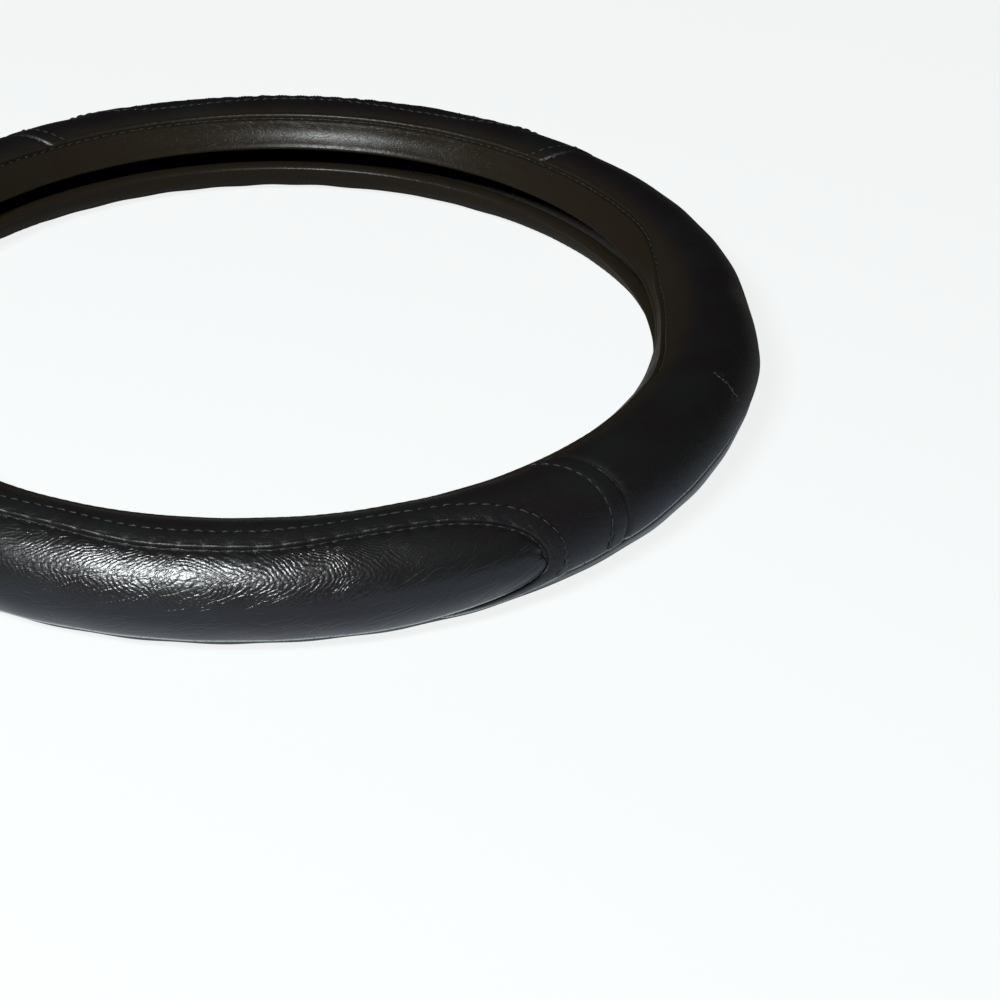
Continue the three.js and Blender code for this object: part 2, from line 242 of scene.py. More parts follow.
def camera_matrix():
    """Camera to world: back along the view at the given height, then yaw, pitch and roll."""
    c, s = math.cos(ELEVATION * DEG), math.sin(ELEVATION * DEG)
    where = np.array([0, -c, s]) * DISTANCE * RING * MM
    ahead, right, up = np.array([0, c, -s]), np.array([1.0, 0, 0]), np.array([0, s, c])
    ahead, right = turned(ahead, right, TURN)
    ahead, up = turned(ahead, up, TIP)
    right, up = turned(right, up, ROLL)
    pose = np.eye(4)
    pose[:3] = np.stack([right, up, -ahead, where], 1)
    return Matrix.Rotation(SWING * DEG, 4, "Z") @ Matrix(pose.tolist())


lens = bpy.data.cameras.new("camera")
lens.sensor_width = SENSOR
lens.lens = FOCAL * SENSOR
lens.clip_start, lens.clip_end = 0.01, 50
camera = bpy.data.objects.new("camera", lens)
camera.matrix_world = camera_matrix()
bpy.context.collection.objects.link(camera)
bpy.context.scene.camera = camera
print("Camera at", [round(v, 3) for v in camera.matrix_world.translation])

# %% [markdown]
# ## Shader maths
#
# A pattern is easier to read as an expression than as a web of nodes. The class below holds one
# output socket. Arithmetic on it adds Math nodes, and its `node` method adds any other node: the
# settings are set first, and then each socket gets a value or a link.

# %% A socket that can be added, multiplied and mixed


class Wire:
    """One output socket of a node tree. + - * and the helpers on it add nodes."""

    def __init__(self, tree, socket):
        self.tree = tree
        self.socket = socket

    def node(self, kind, settings=None, sockets=None, output=0):
        """Adds a node of that type and returns one of its outputs."""
        added = self.tree.nodes.new(kind)
        for key, value in (settings or {}).items():
            setattr(added, key, value)
        for key, value in (sockets or {}).items():
            if isinstance(value, Wire):
                value.into(added, key)
            else:
                added.inputs[key].default_value = value
        return Wire(self.tree, added.outputs[output])

    def into(self, node, key):
        """Links this socket to an input of a node."""
        self.tree.links.new(self.socket, node.inputs[key])

    def maths(self, operation, *values):
        """A Math node on this number and others."""
        return self.node("ShaderNodeMath", {"operation": operation}, dict(enumerate([self, *values])))

    def __add__(self, other):
        return self.maths("ADD", other)

    def __sub__(self, other):
        return self.maths("SUBTRACT", other)

    def __rsub__(self, other):
        return (self * -1) + other

    def __mul__(self, other):
        return self.maths("MULTIPLY", other)

    __radd__ = __add__
    __rmul__ = __mul__

    def size(self):
        """The number without its sign."""
        return self.maths("ABSOLUTE")

    def between(self, low, high):
        """0 at low and 1 at high, kept in that range, with a smooth start and end."""
        settings = {"interpolation_type": "SMOOTHSTEP"}
        return self.node("ShaderNodeMapRange", settings, {"Value": self, 1: low, 2: high})

    def mix(self, low, high):
        """The colour low where this is 0 and high where it is 1."""
        settings = {"data_type": "RGBA"}
        return self.node("ShaderNodeMix", settings, {0: self, 6: low, 7: high}, output=2)

    def vector(self, operation, *values, output=0):
        """A Vector Math node: output 0 is its vector, and output 1 its number."""
        sockets = dict(enumerate([self, *values]))
        return self.node("ShaderNodeVectorMath", {"operation": operation}, sockets, output)

    def noise(self, scale, detail=2.0, rough=0.5, distortion=0.0):
        """Smooth noise at this place, mostly between 0.3 and 0.7."""
        sockets = {"Vector": self, "Scale": scale, "Detail": detail, "Roughness": rough,
                   "Distortion": distortion}
        return self.node("ShaderNodeTexNoise", {}, sockets)

    def cells(self, scale):
        """Distance to the centre of the nearest cell."""
        return self.node("ShaderNodeTexVoronoi", {}, {"Vector": self, "Scale": scale})


def source(tree, kind, output):
    """An output of a new node that needs nothing put in, such as Texture Coordinate."""
    return Wire(tree, tree.nodes.new(kind).outputs[output])


print("A wire can be used with", [key for key in vars(Wire) if key.isalpha()])

# %% Materials and plain colours


def new_material(name):
    """A material, with its tree and the shader that is already in it."""
    material = bpy.data.materials.new(name)
    material.use_nodes = True
    return material, material.node_tree, material.node_tree.nodes["Principled BSDF"]


def grey(value, warmth=0.0):
    """A grey colour, slightly warmer or cooler."""
    return (value * (1 + warmth), value, value * (1 - warmth), 1)


def plum(value):
    """A black with a trace of red and violet."""
    return (value * 1.2, value * 0.85, value, 1)


def greenish(value):
    """A grey with a trace of green."""
    return (value * 0.9, value * 1.1, value, 1)


print("Plum and greenish at 0.1:", *([round(v, 3) for v in colour(0.1)[:3]] for colour in (plum, greenish)))

# %% [markdown]
# ## The studio
#
# The photograph shows the cover on a white table. The floor here is white as well and keeps the
# cover's shadow. Black leatherette shows hardly any colour of its own: what shapes it is the
# reflection of a soft light in front, high and a little to the left, and of the pale table at its
# lower edge. The table could be left to the light that falls on it, but then it would have to be lit
# so strongly that the cover turned grey. So its colour in reflections is painted instead, by the
# place on the table: a painted reflection with a painted contact shadow under the ring and painted
# light near the ring and in front, and the world is white only for the camera.

# %% The table
TABLE = (0.78, 0.80, 0.82, 1)
BACKDROP = (0.935, 0.955, 0.95, 1)
TABLE_WHITENESS = 0.9  # how much of what the camera sees is the backdrop's own white
# The colours below are a painted reflection of the table for glossy rays, mixed in by TABLE_WHITENESS: a
# painted contact shadow under the ring, painted light near the ring and in front, dimmer far off.
REFLECTED_SHADOW, CONTACT = (0.05, 0.055, 0.055, 1), (0.0115, 0.0165)
REFLECTED_NEAR, RING_EDGE = (0.74, 0.82, 0.92, 1), (0.196, 0.222)
REFLECTED = (0.36, 0.44, 0.58, 1)
REFLECTED_FAR, TABLE_FADE = (0.085, 0.073, 0.058, 1), (0.24, 0.52)
TABLE_FRONT = (0.1, -0.42, -0.02)


def reflected_table(spot):
    """The table's colour in the cover's gloss at a place in metres: a painted reflection.

    It has a painted contact shadow under the ring, is painted bright as far as the ring's outer edge,
    cooler beyond it, and is dim and warm far from the front.
    """
    from_middle = spot.vector("MULTIPLY", (1, 1, 0)).vector("LENGTH", output=1)
    off_front = spot.vector("DISTANCE", TABLE_FRONT, output=1)
    open_table = (from_middle - RING * MM).size().between(*CONTACT)
    near = open_table.mix(REFLECTED_SHADOW, REFLECTED_NEAR)
    front = from_middle.between(*RING_EDGE).mix(near, REFLECTED)
    return off_front.between(*TABLE_FADE).mix(front, REFLECTED_FAR)


def stage_material():
    """A pale table: white for camera rays, a painted reflection for glossy rays, with a trace of its real
    light.
    """
    material, tree, shader = new_material("white_table")
    shader.inputs["Base Color"].default_value = TABLE
    shader.inputs["Roughness"].default_value = 0.7
    shader.inputs["Specular IOR Level"].default_value = 0.2
    camera_ray, glossy_ray = (
        source(tree, "ShaderNodeLightPath", f"Is {kind} Ray") for kind in ("Camera", "Glossy")
    )
    seen = camera_ray.maths("MAXIMUM", glossy_ray) * TABLE_WHITENESS
    spot = source(tree, "ShaderNodeTexCoord", "Object")
    # For glossy rays this is the painted reflection of the table, for the camera the backdrop's white.
    shade = camera_ray.mix(reflected_table(spot), BACKDROP)
    white = seen.node("ShaderNodeEmission", {}, {"Color": shade, "Strength": 1.0})
    both = seen.node("ShaderNodeMixShader", {}, {0: seen, 1: Wire(tree, shader.outputs[0]), 2: white})
    both.into(tree.nodes["Material Output"], "Surface")
    return material


bpy.ops.mesh.primitive_plane_add(size=30)
floor = bpy.context.object
floor.name = "floor"
floor.data.transform(Matrix.Translation((0, 0, REST_HEIGHT * MM)))
floor.data.materials.append(stage_material())
floor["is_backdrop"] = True
print(f"The table is {-REST_HEIGHT:.2f} mm below the middle of the ring")

# %% The world
WORLD_LIGHT, WORLD_TINT = 0.012, (0.85, 0.92, 1.0, 1)


def white_world():
    """White for camera rays and a dim even light for everything else."""
    world = bpy.data.worlds.new("studio")
    world.use_nodes = True
    tree = world.node_tree
    light = tree.nodes["Background"]
    light.inputs["Color"].default_value = WORLD_TINT
    light.inputs["Strength"].default_value = WORLD_LIGHT
    camera_ray = source(tree, "ShaderNodeLightPath", "Is Camera Ray")
    white = camera_ray.node("ShaderNodeBackground", {}, {"Color": BACKDROP, "Strength": 1.0})
    sockets = {0: camera_ray, 1: Wire(tree, light.outputs[0]), 2: white}
    camera_ray.node("ShaderNodeMixShader", {}, sockets).into(tree.nodes["World Output"], "Surface")
    return world


bpy.context.scene.view_settings.view_transform = "Standard"
bpy.context.scene.world = white_world()
print("The world lights the cover with", WORLD_LIGHT)

# %% [markdown]
# ## The lamp
#
# One soft light makes the patch of gloss on the grip. A large lamp would spread it over the whole
# panel, so this one is a rectangle of 40 by 18 cm, 1.3 m away, and wider than high as the patch is.

# %% Key light


def soft_light(name, aim, azimuth, elevation, distance, size, power, colour):
    """A rectangular area lamp, at a distance from its aim and an azimuth from the camera's side."""
    lamp = bpy.data.lights.new(name, "AREA")
    lamp.shape = "RECTANGLE"
    lamp.size, lamp.size_y = size
    lamp.energy = power
    lamp.color = colour
    turn, rise = (azimuth + SWING - 90) * DEG, elevation * DEG
    back = Vector((math.cos(turn) * math.cos(rise), math.sin(turn) * math.cos(rise), math.sin(rise)))
    facing = (-back).to_track_quat("-Z", "Y").to_matrix().to_4x4()
    holder = bpy.data.objects.new(name, lamp)
    holder.matrix_world = Matrix.Translation(Vector(aim) + back * distance) @ facing
    bpy.context.collection.objects.link(holder)
    print(f"{name}: {power} W at", [round(v, 2) for v in holder.matrix_world.translation])


soft_light("key_light", (0.0, -0.1, 0.0), -29, 44, 1.3, (0.40, 0.18), 34, (0.94, 0.99, 1.0))

# %% [markdown]
# ## What all leatherette here shares
#
# The skin is a coated cloth with a fine pebbled grain. On this black the grain shows only where light
# grazes it, so it goes into the bump, at its true size, and the colour and gloss vary gently with
# it. Heights are added up in millimetres, and the bump node turns them into metres. Along the lower
# edges of the skins a thin light line is painted into the colour: a painted highlight, the table's
# reflection on the rolled edge. The mesh carries that place as an attribute.

# %% Grain, drift and the painted edge highlight
# A painted highlight: this pale grey stands for the table's reflection on the rolled lower edges.
PAINTED_EDGE_HIGHLIGHT = (0.36, 0.38, 0.37, 1)


def object_mm(tree):
    """The place in space, in millimetres."""
    return source(tree, "ShaderNodeTexCoord", "Object").vector("MULTIPLY", (1000, 1000, 1000))


def run_mm(tree):
    """The place on the ring in millimetres: x = theta R round it, and y = phi r across it."""
    run = object_mm(tree).node("ShaderNodeUVMap", {"uv_map": "surface"})
    return run.vector("MULTIPLY", (1000, 1000, 1000))


def parts(run):
    """The two numbers of a place on the ring, round it and across it."""
    return tuple(run.node("ShaderNodeSeparateXYZ", {}, {"Vector": run}, output=i) for i in range(2))


def grain_of(space):
    """Pebbles about 0.8 mm across: cells with rounded tops, roughened by noise."""
    return space.cells(1.25) * 0.6 + space.noise(2.6) * 0.4


def drift_of(space):
    """A slow change from place to place, from 0 to 1."""
    return space.noise(0.035, detail=3.0).between(0.35, 0.65)


def paint_edge_highlight(tree, colour):
    """A painted highlight line over the colour, broken into specks, where the attribute "edge" is 1."""
    edge = colour.node("ShaderNodeAttribute", {"attribute_name": "edge"}, output=2)
    return (edge * object_mm(tree).noise(0.9).between(0.2, 0.42)).mix(colour, PAINTED_EDGE_HIGHLIGHT)


def dress(shader, colour, gloss, height, sheen):
    """Sends a colour, a roughness and a height in millimetres to a shader."""
    bump = height.node("ShaderNodeBump", {}, {"Height": height, "Distance": MM, "Strength": 1.0})
    colour.into(shader, "Base Color")
    gloss.into(shader, "Roughness")
    bump.into(shader, "Normal")
    shader.inputs["Specular IOR Level"].default_value = sheen
    print(f"A finish of {len(height.tree.nodes)} nodes, specular level {sheen}")


# The colour of the painted edge highlight.
print("The painted edge highlight is", PAINTED_EDGE_HIGHLIGHT[:3])

# %% [markdown]
# ## Plain leatherette
#
# The skins round the grips and along the sides have this finish, and so have the hem bands and the
# back, each with its own shade and gloss. Besides the grain it has thin wandering creases, drawn
# where a noise crosses its middle value. The black drifts from plum to grey. On the inner side of the
# ring a warm brown is mixed in as a painted reflection, where the cover shows a warm reflection.

# %% Plain leatherette
# A painted reflection: warm brown mixed into the black on the inner side of the ring.
PAINTED_WARM_REFLECTION, WARM_REFLECTION_STARTS, WARM_REFLECTION_FULL = (0.013, 0.0095, 0.0055, 1), 95, 128


def plain_leather(name, shade, roughness, grain, crease, sheen=0.30, cool=plum, mark=None):
    """Pebbled leatherette whose height is grain * pebbles + crease * creases, in millimetres.

    A mark is a function of the place on the ring and the colour so far, which returns the new colour.
    """
    material, tree, shader = new_material(name)
    space, run = object_mm(tree), run_mm(tree)
    pebbles, drift = grain_of(space), drift_of(space)
    stretched = run.vector("MULTIPLY", (1.0, 1.7, 1.0))
    lines = stretched.noise(0.2, detail=3.0, rough=0.55, distortion=1.6)
    creases = (lines - 0.5).size().between(0.0, 0.05)
    # How much of the painted warm reflection lies here, rising from 95 to 128 degrees of phi.
    warm_reflection_part = parts(run)[1].size().between(across(WARM_REFLECTION_STARTS), across(WARM_REFLECTION_FULL))
    colour = (warm_reflection_part * 0.8).mix(drift.mix(cool(shade), grey(shade * 1.1)), PAINTED_WARM_REFLECTION)
    # Paints the highlight line along the lower edges.
    colour = paint_edge_highlight(tree, colour)
    colour = mark(run, colour) if mark else colour
    gloss = drift * 0.05 + pebbles * 0.08 + (roughness - 0.06)
    dress(shader, colour, gloss, pebbles * grain + creases * crease, sheen)
    return material


band_finish = plain_leather("band_leatherette", 0.006, 0.30, 0.04, 0.02, 0.15)
back_finish = plain_leather("back_leatherette", 0.045, 0.30, 0.02, 0.02, 0.2, greenish)

# %% [markdown]
# ## A scuff on the right side
#
# The real cover has one pale scratch with a short branch. Cutting it into the mesh would take very
# small faces, and the scratch has no depth, so it is only a mask that mixes grey over the black. Its
# edge is ragged because noise is added to the distance from its line.

# %% Scuffed leatherette
SCUFF_X, SCUFF_Y = -19.8 * DEG * RING, 46 * DEG * SECTION


def scuffed(run, colour):
    """A pale broken line, 0.6 mm wide and 14 mm long at the scuff's place, with a fainter branch."""
    x, y = parts(run)
    ragged = (run.noise(0.5, detail=4.0) - 0.5) * 3.0
    off_line = x - SCUFF_X + ragged
    off_branch = off_line + (y - SCUFF_Y - 4.0).size() * 0.6 - 2.4
    in_reach = (y - SCUFF_Y).size().between(7.8, 6.0)
    broken = run.noise(1.1, detail=3.0).between(0.44, 0.62)
    line = off_line.size().between(0.5, 0.15) + off_branch.size().between(0.3, 0.1) * 0.35
    return (line * in_reach * broken).mix(colour, grey(0.11))


skin_finish = plain_leather("black_leatherette", 0.0055, 0.40, 0.05, 0.03, mark=scuffed)

# %% [markdown]
# ## Crumpled panel leatherette
#
# The grip panels are glossier, and the bend of the grip has crumpled them in fine folds that nest
# like arrowheads. Such folds could be modelled, but at 1 mm apart they would take millions of faces.
# A cosine gives them as bump: where 0.55 |x| + 0.83 |y| stays the same, it draws arrowheads nested
# round the middle of the grip. Noise makes them wander and break off. Longer folds slant over them.

# %% Panel leatherette
PANEL_SHADE = 0.0054
GRIP_X = RING * 90 * DEG  # where the middle of a grip lies in the run round the ring
FOLD_PITCH, FOLD_POINT = 1.08, 12.0  # mm between the folds, and how high up they point


def rounded(value, radius):
    """The size of a value with a rounded foot: sqrt(v^2 + r^2)."""
    return (value * value + radius * radius).maths("SQRT")


def nested_folds(run):
    """cos(2 pi p / pitch), with p = 0.55 |x| + 0.83 |y - point| + a wandering of up to 5 mm."""
    x, y = parts(run)
    warp = (run.noise(0.07, detail=1.0) - 0.5) * 10.0 + (run.noise(0.8, detail=1.0) - 0.5) * 0.9
    p = rounded(x.size() - GRIP_X, 5.0) * 0.55 + rounded(y - FOLD_POINT, 2.5) * 0.83 + warp
    return (p * (2 * math.pi / FOLD_PITCH)).maths("COSINE")


def crumpled_part(run):
    """1 above a ragged line along the panel's widest place, fading out towards its nose."""
    x, y = parts(run)
    before_nose = (x.size() - GRIP_X).size().between(88.0, 30.0)
    return (y + (run.noise(0.12) - 0.5) * 10.0).between(1.0, 7.0) * before_nose


def long_folds(run):
    """0 along thin slanting lines, where a stretched noise crosses its middle value, and else 1."""
    x, y = parts(run)
    slanted = run.node("ShaderNodeCombineXYZ", {}, {0: x * 0.3 + y * 0.2, 1: y * 1.3 - x * 0.5})
    return (slanted.noise(0.16, distortion=0.8) - 0.5).size().between(0.0, 0.045)


def panel_leather():
    """Height = pebbles + cells that grow where it is crumpled + nested folds + long folds."""
    material, tree, shader = new_material("panel_leatherette")
    space, run = object_mm(tree), run_mm(tree)
    pebbles, drift, crumpled = grain_of(space), drift_of(space), crumpled_part(run)
    broken = run.noise(0.75).between(0.34, 0.60)
    folded = nested_folds(run) * (broken * 0.028 + 0.014) * (crumpled * 0.94 + 0.06)
    height = pebbles * 0.02 + space.cells(0.85) * (crumpled * 0.045 + 0.01)
    height = height + folded + long_folds(run) * 0.05
    # The colour gets the painted highlight line along the panel's lower outline.
    colour = paint_edge_highlight(tree, drift.mix(plum(PANEL_SHADE), grey(PANEL_SHADE * 1.1)))
    dress(shader, colour, drift * 0.04 + pebbles * 0.06 + 0.25, height, 0.50)
    return material


panel_finish = panel_leather()

# %% [markdown]
# ## Rubber and thread
#
# The ring inside the cover is moulded rubber, nearly black and dull, with a faint uneven surface. The
# thread is twisted polyester. Its strands are finer than a pixel, so noise along them is enough, and
# a slow change in gloss makes some of the stitches catch the light and others not.

# %% Rubber


def matt_rubber():
    """Mottled near-black, rough by 0.68 to 0.83, with pits a few hundredths of a millimetre deep."""
    material, tree, shader = new_material("moulded_rubber")
    space = object_mm(tree)
    mottle = space.noise(0.3, detail=4.0)
    colour = mottle.between(0.3, 0.7).mix(grey(0.010, 0.10), grey(0.016, 0.16))
    dress(shader, colour, mottle * 0.15 + 0.68, space.noise(3.0) * 0.04, 0.5)
    return material


rubber_finish = matt_rubber()

# %% Thread


def sewing_thread():
    """Fibres 0.06 mm high, and a roughness that drifts along the seam."""
    material, tree, shader = new_material("polyester_thread")
    space = object_mm(tree)
    fibres = space.noise(6.0, distortion=1.0)
    dull = space.noise(0.045).between(0.38, 0.62)
    colour = fibres.between(0.3, 0.7).mix(grey(0.006), grey(0.02))
    dress(shader, colour, fibres * 0.2 + dull * 0.35 + 0.22, fibres * 0.06, 0.28)
    return material


thread_finish = sewing_thread()

# %% [markdown]
# ## Closed skins from columns of points
#
# Every skin is lofted: a column of points runs across the skin on its outside and comes back on its
# inside, and the columns follow each other round the ring. That makes a closed wall of real
# thickness. The outside has many rows, for the folds at the seams, and the hidden inside has few.
# The sign of the enclosed volume tells whether the faces point outward.

# %% From arrays to a mesh


def mesh_from(name, points, faces, surface_maps, bake_maps, finish):
    """A mesh object from points in millimetres and a list of arrays of faces, each with its maps."""
    mesh = bpy.data.meshes.new(name)
    corners = np.concatenate([f.reshape(-1) for f in faces])
    sizes = np.concatenate([np.full(len(f), f.shape[1]) for f in faces])
    mesh.vertices.add(len(points))
    mesh.vertices.foreach_set("co", (points * MM).astype(np.float32).ravel())
    mesh.loops.add(len(corners))
    mesh.loops.foreach_set("vertex_index", corners.astype(np.int32))
    mesh.polygons.add(len(sizes))
    mesh.polygons.foreach_set("loop_start", (np.cumsum(sizes) - sizes).astype(np.int32))
    mesh.polygons.foreach_set("use_smooth", np.full(len(sizes), True))
    for map_name, maps in (("surface", surface_maps), ("OFBake", bake_maps)):
        values = np.concatenate([m.reshape(-1) for m in maps])
        mesh.uv_layers.new(name=map_name).uv.foreach_set("vector", values.astype(np.float32))
    mesh.update(calc_edges=True)
    mesh.validate()
    mesh.materials.append(finish)
    piece = bpy.data.objects.new(name, mesh)
    bpy.context.collection.objects.link(piece)
    print(f"{name}: {len(points)} points, {len(sizes)} faces")
    return piece


def volume(points, faces):
    """Volume inside a closed mesh: the sum of a . (b x c) / 6 over the fan triangles of its faces."""
    corners = ((points[f[:, :1]], points[f[:, 1:-1]], points[f[:, 2:]]) for f in faces)
    return sum((a * np.cross(b, c)).sum() for a, b, c in corners) / 6


cube = np.array([[x, y, z] for x in (0, 1) for y in (0, 1) for z in (0, 1)])
sides = [[0, 1, 3, 2], [4, 6, 7, 5], [0, 4, 5, 1], [2, 3, 7, 6], [0, 2, 6, 4], [1, 5, 7, 3]]
print("A unit cube whose faces point outward has the volume", volume(cube, [np.array(sides)]))

# %% Lofting


def surface_map(theta, phi, faces):
    """The place (theta R, phi r) of every face corner in metres, with no jump at 180 degrees."""
    angle, first = theta[faces], theta[faces[:, :1]]
    angle = np.where(np.abs(angle - first) > 180, angle + 360 * np.sign(first), angle)
    return np.stack([angle * DEG * RING, phi[faces] * DEG * SECTION], -1) * MM


def loft(name, points, theta, phi, finish, closed=False):
    """Joins columns of closed outlines, shape (columns, count, 3), into one closed mesh.

    Quad (i, j) spans columns i, i+1 and points j, j+1, and the two open ends are closed by a face
    each. The bake map is a grid for the quads and two discs above it for the ends.
    """
    columns, count = points.shape[:2]
    index = np.arange(columns * count).reshape(columns, count)
    here, there = (index, np.roll(index, -1, 0)) if closed else (index[:-1], index[1:])
    quads = np.stack([here, there, np.roll(there, -1, 1), np.roll(here, -1, 1)], -1).reshape(-1, 4)
    cell = np.stack(np.meshgrid(np.arange(len(here)), np.arange(count), indexing="ij"), -1)
    step = np.array([[0, 0], [1, 0], [1, 1], [0, 1]])
    faces, bakes = [quads], [(cell.reshape(-1, 1, 2) + step) / [columns, count] * [1.0, 0.96]]
    if not closed:
        turn = np.linspace(0, 2 * np.pi, count, endpoint=False)
        disc = np.stack([np.cos(turn), np.sin(turn)], -1) * 0.018
        faces.append(np.stack([index[0], index[-1][::-1]]))
        bakes.append(np.stack([disc + [0.2, 0.98], disc[::-1] * [1, -1] + [0.6, 0.98]]))
    flat = points.reshape(-1, 3)
    way = -1 if volume(flat, faces) < 0 else 1
    faces, bakes = [f[:, ::way] for f in faces], [b[:, ::way] for b in bakes]
    maps = [surface_map(theta.ravel(), phi.ravel(), f) for f in faces]
    return mesh_from(name, flat, faces, maps, bakes, finish)


def crowded(count, ends=0.85):
    """Values from 0 to 1 that lie closer together at both ends: x - k sin(2 pi x) / 2 pi."""
    x = np.linspace(0, 1, count)
    return x - ends * np.sin(2 * np.pi * x) / (2 * np.pi)


print("Nine crowded values:", crowded(9).round(2))

# %% A skin from its relief
INNER_ROWS = 14


def skin(name, places, relief, finish, edge=None, closed=False):
    """A skin from its outside places, shape (columns, rows): its height there is relief(theta, phi).

    The attribute "edge" is edge(theta, phi), how much of the painted highlight line lies at a point.
    """
    theta, phi = places
    back = np.linspace(phi.shape[1] - 1, 0, INNER_ROWS).round().astype(int)
    outside = place(theta, phi, SECTION + relief(theta, phi))
    inside = place(theta[:, back], phi[:, back], INSIDE)
    angles = (np.concatenate([a, a[:, back]], 1) for a in places)
    piece = loft(name, np.concatenate([outside, inside], 1), *angles, finish, closed)
    shown = edge(theta, phi) if edge else np.zeros_like(phi)
    values = np.concatenate([shown, np.zeros(inside.shape[:2])], 1).astype(np.float32)
    piece.data.attributes.new("edge", "FLOAT", "POINT").data.foreach_set("value", values.ravel())
    return piece


made = {}
print(f"A skin is {SKIN} mm thick, with {INNER_ROWS} rows on its inside")

# %% [markdown]
# ## The relief of the leather
#
# At a seam each skin turns down into the groove. On the side where the seam allowance lies beneath
# it the skin stands up a little, as far as the row of topstitches, which pulls it down again.
# Between the seams the skin is not quite even. Sculpting could give all this, but each of these is
# a height that depends only on the distance from a seam, so a few bell curves and steps are enough.

# %% Edges, steps and dips
PITCH = 4.3  # from one stitch to the next
TOPSTITCH = 7.6  # from a seam to its row of topstitches
EDGE = 0.12  # from a seam's middle line to a skin's edge
chance = np.random.default_rng(7)
WAVES = np.stack([
    chance.integers(5, 48, 24), chance.integers(1, 7, 24),
    chance.uniform(0, 6.28, 24), chance.uniform(0.4, 1, 24),
])


def uneven(theta, phi):
    """A sum of waves a cos(k theta + m phi + start), about -1 to 1 and the same on every skin."""
    total = sum(a * np.cos((k * theta + m * phi) * DEG + start) for k, m, start, a in WAVES.T)
    return total / 3.2


def bell(distance, width):
    """exp(-(d / w)^2)."""
    return np.exp(-((distance / width) ** 2))


def edge_roll(distance, width=0.62):
    """The skin turning down into a seam: a steep bell, deepest at the edge, and a wider shallow one."""
    return -1.15 * bell(distance, width) - 0.35 * bell(distance, width * 2.4)


def crest(distance, offset, width, height):
    """A thin ridge beside a seam: a bell of that height around an offset from it."""
    return height * bell(distance - offset, width)


def allowance(distance, width):
    """The step of the double skin from the seam as far as its row of stitches."""
    return 0.42 * smooth(distance, 0.2, 1.3) * (1 - smooth(distance, width - 0.9, width + 1.0))


def stitch_row(distance, run):
    """The dip under a row of stitches, deepest where the needle went in."""
    return -0.34 * bell(distance, 0.62) * (0.65 + 0.35 * np.cos(2 * np.pi * run / PITCH))


print(f"A skin's edge lies {-edge_roll(EDGE):.2f} mm deep,",
      f"and its allowance stands {allowance(TOPSTITCH / 2, TOPSTITCH)} mm high")

# %% [markdown]
# ## Gathers
#
# The thread pulls the leatherette together, so small puckers run away from a seam and die out, with
# deeper pits at every second stitch and a knot of skin where each stitch pinches the edge. Waves
# along the seam's length give them. Their strength changes slowly, so that no two are the same.

# %% Puckers, pits, ruffles and knots


def puckers(distance, run, reach, depth, slant=0.35):
    """Gathers across a seam every two stitches, uneven in strength: waves * exp(-d / reach)."""
    strength = 0.6 + 0.4 * np.cos(run * 0.173 + 1.3) * np.cos(run * 0.071)
    wave = np.cos(2 * np.pi * (run + slant * distance) / (2 * PITCH))
    wave = wave + 0.5 * np.cos(2 * np.pi * run / PITCH + 0.8)
    return -depth * strength * (0.5 + 0.4 * wave) * np.exp(-distance / reach)


def pits(distance, run, reach, depth, slant=0.5):
    """Deep gathers at every second stitch: a cosine raised to the third power, times a bell."""
    wave = 0.5 + 0.5 * np.cos(2 * np.pi * (run + slant * distance) / (2 * PITCH))
    return -depth * wave**3 * bell(distance, reach)


def ruffles(distance, run, height):
    """Fine slanted strokes on the crest beside a seam, 1.4 mm apart."""
    wave = np.cos(2 * np.pi * (run - 0.9 * distance) / 1.43) * (0.6 + 0.4 * np.cos(run * 0.41))
    return wave * crest(distance, 1.1, 0.8, height)


def knots(distance, run, height):
    """Small bumps where a stitch pinches the edge: a squared cosine with a drifting phase."""
    wave = np.maximum(np.cos(2 * np.pi * run / PITCH + 1.5 * np.cos(0.37 * run)), 0) ** 2
    return wave * (0.55 + 0.45 * np.cos(0.23 * run + 1)) * crest(distance, 0.75, 0.4, height)


example = puckers(0, np.linspace(0, 200, 2000), reach=2, depth=0.2)
print(f"Puckers with a depth of 0.2 run from {example.min():.2f} to {example.max():.2f} mm")

# %% [markdown]
# ## The seams that several skins share
#
# The hem runs past all the front skins and the bands, and the outer seam past all the front skins.
# Each is written once, so that the skins on both sides of a cross joint continue each other.

# %% Hem and outer seam


def from_outer_seam(theta, phi):
    """Distance from the outer seam, on either side of it."""
    return across(np.abs(phi - outer_seam(theta)))


def hem_ridge(theta, phi):
    """The rolled edges along the hem, with a slight scallop at each stitch."""
    distance = across(np.abs(hem_seam(theta) - phi))
    run = along(theta, HEM_LOW)
    scallop = 1 + 0.12 * np.cos(2 * np.pi * run / PITCH) * (0.6 + 0.4 * np.cos(run * 0.061))
    return crest(distance, 1.5, 0.9, 0.38) * scallop + edge_roll(distance) + ruffles(distance, run, 0.05)


def outer_edge(theta, phi):
    """The outer seam: the skins turn in, and the front one stands up in a thin ridge."""
    distance = from_outer_seam(theta, phi)
    gathers = puckers(distance, along(theta, 0), 3.0, 0.06)
    return edge_roll(distance) + crest(distance, 1.05, 0.55, 0.5) + gathers


def common_relief(theta, phi, unevenness):
    """What every front skin has: the hem, the outer seam and the unevenness."""
    return hem_ridge(theta, phi) + outer_edge(theta, phi) + unevenness * uneven(theta, phi)


def seam_highlight_line(theta, phi):
    """Where the painted highlight line lies on a front skin: a thin line beside the outer seam."""
    return crest(from_outer_seam(theta, phi), 0.8, 0.7, 1.0)


print(f"Halfway up a side the skin stands {common_relief(0.0, 70.0, 0.14):.2f} mm from a true torus")

# %% [markdown]
# ## Side skins
#
# A side skin is a patch between two cross joints, from the outer seam to the hem. A plain grid in
# theta and phi would end in straight lines, so the ends are bent to the joints' lines. A joint's
# place depends on phi and the seam's on theta, so both are worked out in turn a few times.

